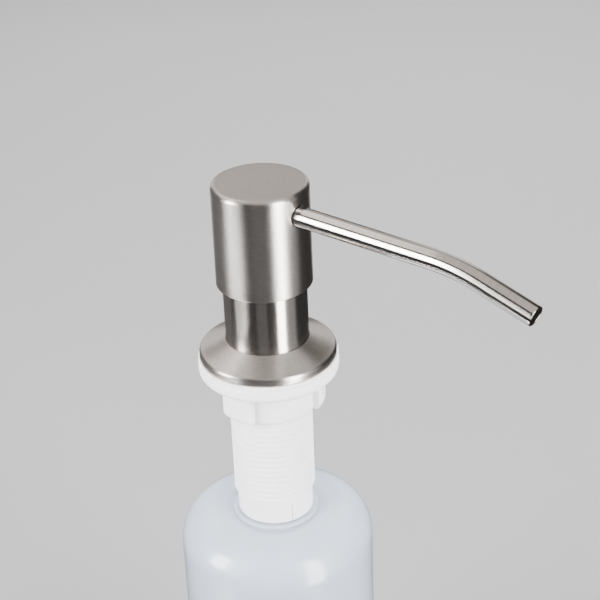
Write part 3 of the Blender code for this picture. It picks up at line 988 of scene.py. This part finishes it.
class DeckBase(Assembly):
    """What stays on the deck: steel flange and collar, the shank below them, and the gaskets."""

    sizes = BaseSizes()

    def build(self) -> None:
        """Build and dress every piece of the base."""
        self.flange()
        self.collar()
        self.shank()
        self.gaskets()

    def flange(self) -> None:
        """Dished flange with a thick rounded rim and a hollow underside."""
        size = self.sizes
        work = Workpiece.turned(
            [
                Corner(size.flange_bore_r, size.crown_z, 0.12),
                Corner(15.2, 5.85, 0.9),
                Corner(18.2, 4.45, 1.2),
                Corner(21.0, size.rim_z + 0.26, 0.9),
                Corner(size.flange_r, size.rim_z - 0.25, 0.85),
                Corner(size.flange_r, 0.0, 0.3),
                Corner(21.0, 0.0, 0.15),
                Corner(21.0, 2.0, 0.3),
                Corner(size.flange_bore_r, 5.2, 0.1),
            ],
        )
        self.fit(work, "deck_flange", "flange_cover", Body.BASE, self.finishes.flange)

    def collar(self) -> None:
        """Polished sleeve between the flange and the head, with its seal."""
        size = self.sizes
        work = Workpiece.turned(
            [
                Corner(size.sleeve_bore_r, size.sleeve_top_z, 0.1),
                Corner(size.sleeve_r, size.sleeve_top_z, 0.3),
                Corner(size.sleeve_r, 2.0, 0.15),
                Corner(size.sleeve_bore_r, 2.0, 0.15),
            ],
        )
        self.fit(work, "collar", "collar_sleeve", Body.BASE, self.finishes.collar)
        seal = Workpiece.ring(14.65, 0.6, 2.85)
        self.fit(seal, "collar_ring", "collar_seal", Body.BASE, self.finishes.dark_rubber)

    def shank(self) -> None:
        """Threaded tube with a flat head under the steel, a plain lower band and a slot in it."""
        size = self.sizes
        top, end = size.thread_top_z, size.thread_end_z
        work = Workpiece.turned(
            [
                Corner(size.plain_r, top),
                Corner(size.plain_r, 0.05, 0.3),
                Corner(20.4, 0.05, 0.3),
                Corner(20.4, 1.7, 0.3),
                Corner(size.bore_r, 1.7, 0.2),
                Corner(size.bore_r, size.ledge_z + 3.4, 0.3),
                Corner(size.ledge_r, size.ledge_z + 2.2, 0.3),
                Corner(size.ledge_r, size.ledge_z, 0.2),
                Corner(11.25, size.ledge_z, 0.2),
                Corner(11.25, size.end_z, 0.25),
                Corner(size.plain_r, size.end_z, 0.35),
                Corner(size.plain_r, end, 0.0),
            ],
            closed=False,
        )
        work.add_thread(ThreadForm(12.35, 13.7, 0.62, 1.6), end + 0.2, top - 0.2)
        work.bridge(end, end + 0.2)
        work.bridge(top, top - 0.2)
        slot = Workpiece.block((13.0, 0.0, size.end_z + 2.8), (1.4, 0.6, 7.4), size.slot_turn, 0.12)
        self.fit(
            work.carved(slot), "shank", "threaded_shank", Body.BASE, self.finishes.white
        )

    def gaskets(self) -> None:
        """Thin gasket under the flange and the washer that the bottle's neck seals on."""
        rubber = self.finishes.pale_rubber
        for name, node, inner, outer, base, top in (
            ("deck_gasket", "flange_gasket", 13.1, 23.0, -1.45, -0.05),
            ("neck_washer", "bottle_washer", 9.2, 10.9, -47.7, -46.5),
        ):
            work = flat_ring(inner, outer, base, top, 0.2)
            self.fit(work, name, node, Body.BASE, rubber)


def flat_ring(inner: float, outer: float, base: float, top: float, rounding: float) -> Workpiece:
    """A flat ring with rounded edges between two radii and two heights."""
    corners = [(inner, top), (outer, top), (outer, base), (inner, base)]
    return Workpiece.turned([Corner(r, z, rounding) for r, z in corners])


@dataclass(frozen=True)
class NutSizes:
    """Sizes of the clamp washer and the lug nut."""

    washer_bore_r: float = 14.0
    washer_r: float = 23.1
    washer_top_z: float = -1.5
    washer_base_z: float = -6.4
    top_z: float = -6.6
    base_z: float = -18.2
    barrel_r: float = 15.5
    lug_r: float = 18.3
    lug_steps: int = 19
    lug_start: float = 31.5
    lugs: int = 3
    steps: int = 180
    mouth_r: float = 14.3


class DeckClamp(Assembly):
    """The thick washer and the lug nut that clamp the flange to the deck."""

    sizes = NutSizes()

    def build(self) -> None:
        """Build and dress the washer and the nut."""
        self.washer()
        self.nut()

    def washer(self) -> None:
        """Thick ring with a well rounded lower edge."""
        size = self.sizes
        work = Workpiece.turned(
            [
                Corner(size.washer_bore_r, size.washer_top_z, 0.3),
                Corner(size.washer_r, size.washer_top_z, 0.5),
                Corner(size.washer_r, size.washer_base_z, 2.4),
                Corner(size.washer_bore_r, size.washer_base_z, 0.3),
            ],
        )
        self.fit(work, "deck_washer", "clamp_washer", Body.WASHER, self.finishes.white)

    def nut(self) -> None:
        """Threaded barrel with three finger lugs pulled out of it."""
        size = self.sizes
        half = size.lug_steps * 180.0 / size.steps
        work = Workpiece.turned(
            [
                Corner(size.mouth_r, size.top_z),
                Corner(size.barrel_r, size.top_z),
                Corner(size.barrel_r, size.base_z),
                Corner(size.mouth_r, size.base_z),
            ],
            closed=False,
            segments=size.steps,
            first=size.lug_start - half,
            hold=False,
        )
        for index in range(size.lugs):
            self.pull_lug(work, size.lug_start + index * 360.0 / size.lugs, half)
        under = [
            edge
            for edge in work.bm.edges
            if all(v.co.xy.length > size.lug_r - 0.01 for v in edge.verts)
            and all(v.co.z < size.base_z + 0.01 for v in edge.verts)
        ]
        work.round_edges(under, 2.2, 8)
        corners = [
            edge
            for edge in work.bm.edges
            if edge.is_manifold
            and edge.calc_face_angle(0.0) > math.radians(40.0)
            and min(v.co.xy.length for v in edge.verts) > size.mouth_r + 0.2
        ]
        work.round_edges(corners, 0.4, 4)
        work.add_thread(
            ThreadForm(13.98, 12.9, 0.2, 1.3, phase=1.0), size.base_z + 0.3, size.top_z - 0.3
        )
        work.bridge(size.base_z, size.base_z + 0.3)
        work.bridge(size.top_z, size.top_z - 0.3)
        self.fit(work, "lug_nut", "mounting_nut", Body.NUT, self.finishes.white)

    def pull_lug(self, work: Workpiece, centre: float, half: float) -> None:
        """Extrude one lug from the barrel's wall.

        Args:
            work: The barrel.
            centre: The lug's azimuth, in degrees.
            half: Half its width, in degrees.
        """
        size = self.sizes
        chosen = []
        for face in work.bm.faces:
            middle = face.calc_center_median()
            turn = math.degrees(math.atan2(middle.y, middle.x)) - centre
            near = abs((turn + 180.0) % 360.0 - 180.0) < half
            if near and abs(face.normal.z) < 0.5 and middle.xy.length > size.barrel_r - 0.1:
                chosen.append(face)
        made = bmesh.ops.extrude_face_region(work.bm, geom=chosen)["geom"]
        grow = size.lug_r / size.barrel_r
        verts = [item for item in made if isinstance(item, bmesh.types.BMVert)]
        bmesh.ops.scale(work.bm, vec=(grow, grow, 1.0), verts=verts)
        left = [face for face in chosen if face.is_valid]
        if left:
            bmesh.ops.delete(work.bm, geom=left, context="FACES_ONLY")


@dataclass(frozen=True)
class BottleSizes:
    """Sizes of the blown bottle."""

    radius: float = 32.95
    wall: float = 1.2
    corner: float = 12.3
    foot: float = 5.0
    shoulder_z: float = -60.5
    dip_z: float = -61.7
    neck_r: float = 10.9
    neck_bore_r: float = 9.6
    neck_top_z: float = -48.0
    ring_r: float = 14.4


class Bottle(Assembly):
    """The blown bottle under the deck."""

    sizes = BottleSizes()

    def build(self) -> None:
        """Build and dress the bottle."""
        size = self.sizes
        floor = -DECK_Z
        outer = [
            Corner(0.0, floor + 1.3),
            Corner(17.0, floor + 1.1, 4.0),
            Corner(25.0, floor, 1.5),
            Corner(size.radius, floor, size.foot),
            Corner(size.radius, size.shoulder_z, size.corner),
            Corner(17.6, size.shoulder_z - 0.2, 0.8),
            Corner(size.ring_r + 0.5, size.dip_z, 0.5),
            Corner(size.ring_r, size.dip_z + 0.1, 0.2),
            Corner(size.ring_r, -60.45, 0.45),
            Corner(11.6, -60.45, 0.4),
            Corner(size.neck_r, -60.9, 0.3),
            Corner(size.neck_r, size.neck_top_z, 0.3),
        ]
        inner = [
            Corner(size.neck_bore_r, size.neck_top_z, 0.3),
            Corner(size.neck_bore_r, size.dip_z - 1.6, 0.6),
            Corner(size.radius - size.wall, size.dip_z - 1.6, size.corner - size.wall),
            Corner(size.radius - size.wall, floor + size.wall, size.foot - size.wall),
            Corner(25.0, floor + size.wall, 1.5),
            Corner(17.0, floor + size.wall + 1.1, 4.0),
            Corner(0.0, floor + size.wall + 1.3),
        ]
        work = Workpiece.turned(outer + inner, closed=False, segments=192)
        self.fit(work, "blown_bottle", "bottle", Body.BOTTLE, self.finishes.natural)


@dataclass(frozen=True)
class PumpSizes:
    """Sizes of the pump cartridge."""

    rim_r: float = 13.65
    top_z: float = 31.1
    rim_base_z: float = 29.6
    skirt_r: float = 12.3
    skirt_base_z: float = 18.0
    rest_r: float = 10.6
    housing_r: float = 8.0
    housing_bore_r: float = 6.8
    housing_top_z: float = 27.9
    floor_z: float = -31.0
    nozzle_r: float = 4.4
    nozzle_bore_r: float = 3.3
    nozzle_end_z: float = -46.0
    tube_r: float = 3.0
    tube_bore_r: float = 2.2
    tube_top_z: float = -32.6
    tube_end_z: float = -175.0


@dataclass(frozen=True)
class SpringSizes:
    """Sizes of the return spring at rest."""

    mean_r: float = 5.3
    wire_r: float = 0.45
    coils: int = 7
    coil_steps: int = 40
    dead_turns: float = 0.5
    top_z: float = 7.2
    base_z: float = -25.9
    length: float = 33.1
    stroke: float = 15.0


class PumpCartridge(Assembly):
    """The pump that hangs in the collar, from its closure down to the dip tube."""

    sizes = PumpSizes()
    coil = SpringSizes()

    def build(self) -> None:
        """Build and dress every piece of the cartridge."""
        self.closure()
        self.bush()
        self.cylinder()
        self.intake()
        self.plunger()
        self.spring()

    def closure(self) -> None:
        """Cap that closes the collar's mouth, with its seal in a groove."""
        size = self.sizes
        work = Workpiece.turned(
            [
                Corner(5.0, size.top_z, 0.2),
                Corner(size.rim_r, size.top_z, 0.4),
                Corner(size.rim_r, size.rim_base_z, 0.2),
                Corner(size.skirt_r, size.rim_base_z, 0.0),
                Corner(size.skirt_r, 21.4, 0.1),
                Corner(11.6, 21.4, 0.0),
                Corner(11.6, 20.0, 0.0),
                Corner(size.skirt_r, 20.0, 0.1),
                Corner(size.skirt_r, size.skirt_base_z, 0.3),
                Corner(10.9, size.skirt_base_z, 0.3),
                Corner(10.9, 23.6, 0.0),
                Corner(8.4, 23.6, 0.3),
                Corner(8.4, 24.9, 0.3),
                Corner(10.9, 24.9, 0.0),
                Corner(10.9, size.rim_base_z, 0.2),
                Corner(5.0, size.rim_base_z, 0.2),
            ],
        )
        self.fit(work, "closure_cap", "pump_closure", Body.PUMP, self.finishes.white)
        seal = Workpiece.ring(12.05, 0.4, 20.7)
        self.fit(seal, "closure_ring", "closure_seal", Body.PUMP, self.finishes.dark_rubber)

    def bush(self) -> None:
        """Bush that guides the stem."""
        size = self.sizes
        work = Workpiece.turned(
            [
                Corner(3.35, size.top_z, 0.2),
                Corner(4.7, size.top_z, 0.2),
                Corner(4.7, 29.3, 0.0),
                Corner(size.rest_r, 29.3, 0.2),
                Corner(size.rest_r, 28.2, 0.2),
                Corner(6.5, 28.2, 0.0),
                Corner(6.5, 19.0, 0.3),
                Corner(3.35, 19.0, 0.3),
            ],
            segments=SMALL_SEGMENTS,
        )
        self.fit(work, "stem_bush", "guide_bush", Body.PUMP, self.finishes.white)

    def cylinder(self) -> None:
        """Pump cylinder with its top gasket and the dip tube pushed into its nozzle."""
        size = self.sizes
        work = Workpiece.turned(
            [
                Corner(size.housing_bore_r, size.housing_top_z, 0.3),
                Corner(size.rest_r, size.housing_top_z, 0.3),
                Corner(size.rest_r, 26.5, 0.2),
                Corner(size.housing_r, 26.5, 0.3),
                Corner(size.housing_r, size.floor_z, 1.2),
                Corner(size.nozzle_r, size.floor_z - 3.0, 0.8),
                Corner(size.nozzle_r, size.nozzle_end_z, 0.35),
                Corner(size.nozzle_bore_r, size.nozzle_end_z, 0.2),
                Corner(size.nozzle_bore_r, size.tube_top_z + 0.3, 0.0),
                Corner(2.2, size.tube_top_z + 0.3, 0.2),
                Corner(2.2, -30.0, 0.2),
                Corner(size.housing_bore_r, -30.0, 0.3),
            ],
        )
        self.fit(work, "pump_cylinder", "pump_housing", Body.PUMP, self.finishes.natural)
        gasket = flat_ring(8.3, size.rest_r, 25.2, 26.2, 0.2)
        rubber = self.finishes.pale_rubber
        self.fit(gasket, "cylinder_gasket", "housing_gasket", Body.PUMP, rubber)
        tube = Workpiece.turned(
            [
                Corner(size.tube_bore_r, size.tube_top_z, 0.15),
                Corner(size.tube_r, size.tube_top_z, 0.2),
                Corner(size.tube_r, size.tube_end_z, 0.15),
                Corner(size.tube_bore_r, size.tube_end_z, 0.1),
            ],
            segments=64,
        )
        self.fit(tube, "suction_tube", "dip_tube", Body.PUMP, self.finishes.clear)

    def intake(self) -> None:
        """Intake valve: seat, slotted cage and ball, and the outlet ball above."""
        seat = Workpiece.turned(
            [
                Corner(2.2, -26.1, 0.15),
                Corner(6.5, -26.5, 0.2),
                Corner(6.5, -29.7, 0.2),
                Corner(1.7, -29.7, 0.2),
                Corner(1.7, -26.9, 0.0),
            ],
            segments=SMALL_SEGMENTS,
        )
        self.fit(seat, "intake_seat", "valve_seat", Body.PUMP, self.finishes.white)
        cage = Workpiece.turned(
            [
                Corner(1.5, -19.3, 0.15),
                Corner(4.2, -19.3, 0.4),
                Corner(4.2, -25.75, 0.2),
                Corner(2.8, -25.75, 0.0),
                Corner(2.8, -20.5, 0.3),
                Corner(1.5, -20.5, 0.15),
            ],
            segments=SMALL_SEGMENTS,
        )
        windows = [
            Workpiece.block((3.5, 0.0, -23.8), (2.4, 1.8, 2.6), 30.0 + 120.0 * index, 0.25)
            for index in range(3)
        ]
        self.fit(
            cage.carved(*windows), "intake_cage", "ball_cage", Body.PUMP, self.finishes.white
        )
        steel = self.finishes.spring
        self.fit(Workpiece.ball(2.4, -24.7), "lower_ball", "intake_ball", Body.INTAKE, steel)
        self.fit(Workpiece.ball(1.9, 47.1), "upper_ball", "outlet_ball", Body.OUTLET, steel)

    def plunger(self) -> None:
        """Two-lipped piston seal on the foot of the stem."""
        base = 9.5
        work = Workpiece.turned(
            [
                Corner(3.25, base + 7.6, 0.1),
                Corner(5.2, base + 7.6, 0.2),
                Corner(6.2, base + 8.0, 0.15),
                Corner(6.5, base + 7.2, 0.2),
                Corner(5.6, base + 5.4, 0.6),
                Corner(5.6, base + 2.6, 0.6),
                Corner(6.5, base + 0.8, 0.2),
                Corner(6.2, base, 0.15),
                Corner(5.2, base + 0.4, 0.2),
                Corner(3.25, base + 0.4, 0.1),
            ],
            segments=SMALL_SEGMENTS,
        )
        self.fit(work, "piston_seal", "piston", Body.PLUNGER, self.finishes.pale_rubber)

    def spring(self) -> None:
        """Wound return spring with closed end coils."""
        coil = self.coil
        low, high = coil.base_z + coil.wire_r, coil.top_z - coil.wire_r
        work = Workpiece()
        place = Matrix.Translation((coil.mean_r, 0.0, low)) @ Matrix.Rotation(math.pi / 2, 4, "X")
        bmesh.ops.create_circle(
            work.bm, cap_ends=True, segments=16, radius=coil.wire_r, matrix=place
        )
        end = work.bm.faces[:]
        closed_rise = coil.wire_r * 0.7
        rise = high - low - 2.0 * closed_rise
        dead = coil.dead_turns
        inside = []
        spans = ((dead, closed_rise), (coil.coils - 2.0 * dead, rise), (dead, closed_rise))
        for turns, lift in spans:
            count = int(turns * coil.coil_steps)
            made = bmesh.ops.spin(
                work.bm,
                geom=end,
                cent=ORIGIN,
                axis=UP,
                dvec=(0.0, 0.0, lift / count),
                angle=math.tau * turns,
                steps=count,
                use_duplicate=False,
            )["geom_last"]
            end = [item for item in made if isinstance(item, bmesh.types.BMFace)]
            inside += end
        bmesh.ops.delete(work.bm, geom=inside[:-1], context="FACES_ONLY")
        finish = self.finishes.spring
        piece = self.fit(work, "coil_spring", "return_spring", Body.PLUNGER, finish)
        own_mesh(piece)


# ---------------------------------------------------------------- studio


class Use(Enum):
    """What a light is for."""

    SHEEN = "reflections in the steel"
    FILL = "light on the plastic and the floor"
    BOTH = "both"


@dataclass(frozen=True)
class SoftBox:
    """A soft rectangular light that faces the pump.

    turn is its azimuth from the camera's, to the right, and lift its elevation, in degrees. width,
    height, distance and aim_z, the height that it is level with or aimed at, are in metres.
    """

    name: str
    turn: float
    width: float
    height: float
    glow: float
    lift: float = 0.0
    distance: float = 1.2
    aim_z: float = 0.22
    colour: Colour = (1.0, 1.0, 1.0)
    use: Use = Use.BOTH

    def build(self, camera_turn: float) -> None:
        """Hang the light.

        Args:
            camera_turn: The camera's azimuth, in degrees.
        """
        azimuth, lift = math.radians(camera_turn + self.turn), math.radians(self.lift)
        away = Vector(
            (math.cos(azimuth) * math.cos(lift), math.sin(azimuth) * math.cos(lift), math.sin(lift))
        )
        lamp = bpy.data.lights.new(self.name, "AREA")
        lamp.shape = "RECTANGLE"
        lamp.size, lamp.size_y = self.width, self.height
        lamp.energy = self.glow * math.pi * self.width * self.height
        lamp.color = self.colour
        obj = bpy.data.objects.new(self.name, lamp)
        obj.location = Vector((0.0, 0.0, self.aim_z)) + away * self.distance
        obj.rotation_euler = (-away).to_track_quat("-Z", "Y").to_euler()
        obj.visible_camera = False
        obj.visible_diffuse = self.use is not Use.SHEEN
        obj.visible_transmission = self.use is not Use.SHEEN
        obj.visible_glossy = self.use is not Use.FILL
        bpy.context.scene.collection.objects.link(obj)


class Studio:
    """Pale floor, soft lights and the camera."""

    camera_azimuth = -48.46
    camera_spot = (0.3088, -0.3486, 0.45535)
    camera_yaw = math.radians(1.363)
    camera_pitch = math.radians(28.674)
    camera_roll = -0.0408
    lens = 99.01
    sensor = 36.0
    floor_z = -0.0002
    floor_half_side = 12.0
    surround_r = 9.0

    lights = (
        SoftBox("left_bank", -73.0, 0.4, 0.85, 26.0, aim_z=0.52, use=Use.SHEEN),
        SoftBox("left_low_bank", -73.0, 0.3, 0.7, 34.0, aim_z=-1.32, use=Use.SHEEN),
        SoftBox("left_skirt", -56.5, 0.28, 0.85, 2.4, aim_z=0.52, use=Use.SHEEN),
        SoftBox("right_bank", 40.0, 0.42, 1.9, 20.0, aim_z=0.3, use=Use.SHEEN),
        SoftBox("right_soft", 68.0, 0.7, 1.9, 0.4, aim_z=0.3, use=Use.SHEEN),
        SoftBox("left_soft", -140.0, 1.6, 1.5, 0.13, aim_z=0.0, use=Use.SHEEN),
        SoftBox("front_soft", -12.0, 0.6, 1.5, 0.13, aim_z=0.0, use=Use.SHEEN),
        SoftBox("back_left_bank", -160.0, 0.35, 1.2, 0.9, aim_z=0.2, use=Use.SHEEN),
        SoftBox("back_right_bank", 160.0, 0.35, 1.2, 0.9, aim_z=0.2, use=Use.SHEEN),
        SoftBox("left_panel", -131.5, 1.2, 0.6, 1.4, lift=48.0, colour=(1.0, 0.95, 0.91)),
        SoftBox("back_panel", 180.0, 1.2, 0.6, 0.7, lift=31.0, colour=(1.0, 0.93, 0.87)),
        SoftBox("top_panel", 0.0, 1.9, 1.9, 0.8, lift=90.0, colour=(1.0, 0.96, 0.92)),
        SoftBox("left_key", -62.0, 0.4, 0.6, 20.0, lift=14.0, distance=0.6, use=Use.FILL),
        SoftBox("right_key", 50.0, 0.4, 0.6, 20.0, lift=14.0, distance=0.6, use=Use.FILL),
        SoftBox("back_key", 168.0, 0.9, 0.7, 10.0, lift=30.0, distance=1.0, use=Use.FILL),
        SoftBox("room_top", 0.0, 26.0, 26.0, 0.8, lift=90.0, distance=4.0, use=Use.FILL),
    )

    def build(self) -> None:
        """Set up the whole studio."""
        self.floor()
        self.world()
        self.surround()
        for light in self.lights:
            light.build(self.camera_azimuth)
        self.camera()

    @staticmethod
    def stand(
        name: str, bm: bmesh.types.BMesh, material: bpy.types.Material
    ) -> bpy.types.Object:
        """Put a shape that isn't part of the pump into the scene.

        Args:
            name: Its name.
            bm: Its shape, in metres, which is freed.
            material: Its material.

        Returns:
            The object.
        """
        mesh = bpy.data.meshes.new(name)
        bm.to_mesh(mesh)
        bm.free()
        mesh.materials.append(material)
        obj = bpy.data.objects.new(name, mesh)
        bpy.context.scene.collection.objects.link(obj)
        return obj

    def floor(self) -> None:
        """Plain pale floor, which the steel doesn't mirror, as if it ended just behind the pump."""
        board = NodeBoard("pale_floor")
        share = board.spread(board.noise(board.place(), 3.0, 2.0, 0.5), 0.0, 1.0)
        pair = (0.24, 0.24, 0.242), (0.25, 0.25, 0.252)
        board.link(board.blend(share, *pair), board.shader.inputs["Base Color"])
        board.set(Roughness=0.9)
        bm = bmesh.new()
        place = Matrix.Translation((0.0, 0.0, self.floor_z))
        bmesh.ops.create_grid(
            bm, x_segments=8, y_segments=8, size=self.floor_half_side, matrix=place
        )
        floor = self.stand("floor", bm, board.material)
        floor.visible_glossy = False
        floor.visible_shadow = False

    def world(self) -> None:
        """Pale surroundings, which the steel doesn't mirror."""
        world = bpy.data.worlds.new("studio")
        world.use_nodes = True
        colour = world.node_tree.nodes["Background"].inputs["Color"]
        colour.default_value = (0.3, 0.3, 0.302, 1.0)
        world.cycles_visibility.glossy = False
        bpy.context.scene.world = world

    def surround(self) -> None:
        """Dim shell that only the steel mirrors, as the dark far side of a studio."""
        board = NodeBoard("dim_surround")
        board.set(Base_Color=(0.0, 0.0, 0.0, 1.0), Specular_IOR_Level=0.0)
        board.set(Emission_Color=(0.05, 0.05, 0.052, 1.0), Emission_Strength=1.0)
        bm = bmesh.new()
        bmesh.ops.create_uvsphere(bm, u_segments=48, v_segments=24, radius=self.surround_r)
        shell = self.stand("surround", bm, board.material)
        for ray in ("camera", "diffuse", "shadow", "transmission", "volume_scatter"):
            setattr(shell, f"visible_{ray}", False)

    def camera(self) -> None:
        """Camera a little above the head, looking down at the front left of the spout."""
        yaw, pitch, roll = self.camera_yaw, self.camera_pitch, self.camera_roll
        forward = Vector(
            (math.sin(yaw) * math.cos(pitch), math.cos(yaw) * math.cos(pitch), -math.sin(pitch))
        )
        right = Vector((math.cos(yaw), -math.sin(yaw), 0.0))
        up = right.cross(forward)
        across = math.cos(roll) * right + math.sin(roll) * up
        upright = math.cos(roll) * up - math.sin(roll) * right
        turn = Matrix.Rotation(math.radians(90.0 + self.camera_azimuth), 3, "Z")
        axes = Matrix((across, upright, -forward)).transposed()
        data = bpy.data.cameras.new("camera")
        data.lens = self.lens
        data.sensor_width = self.sensor
        data.clip_start = 0.01
        obj = bpy.data.objects.new("camera", data)
        obj.matrix_world = Matrix.Translation(self.camera_spot) @ (turn @ axes).to_4x4()
        bpy.context.scene.collection.objects.link(obj)
        bpy.context.scene.camera = obj


def main() -> None:
    """Build the pump and the studio."""
    logging.basicConfig(level=logging.INFO, format="%(name)s: %(message)s")
    finishes = Finishes.make()
    for assembly in (Bottle, DeckBase, DeckClamp, PumpCartridge, Head):
        assembly(finishes).build()
    Studio().build()


if __name__ == "__main__":
    main()
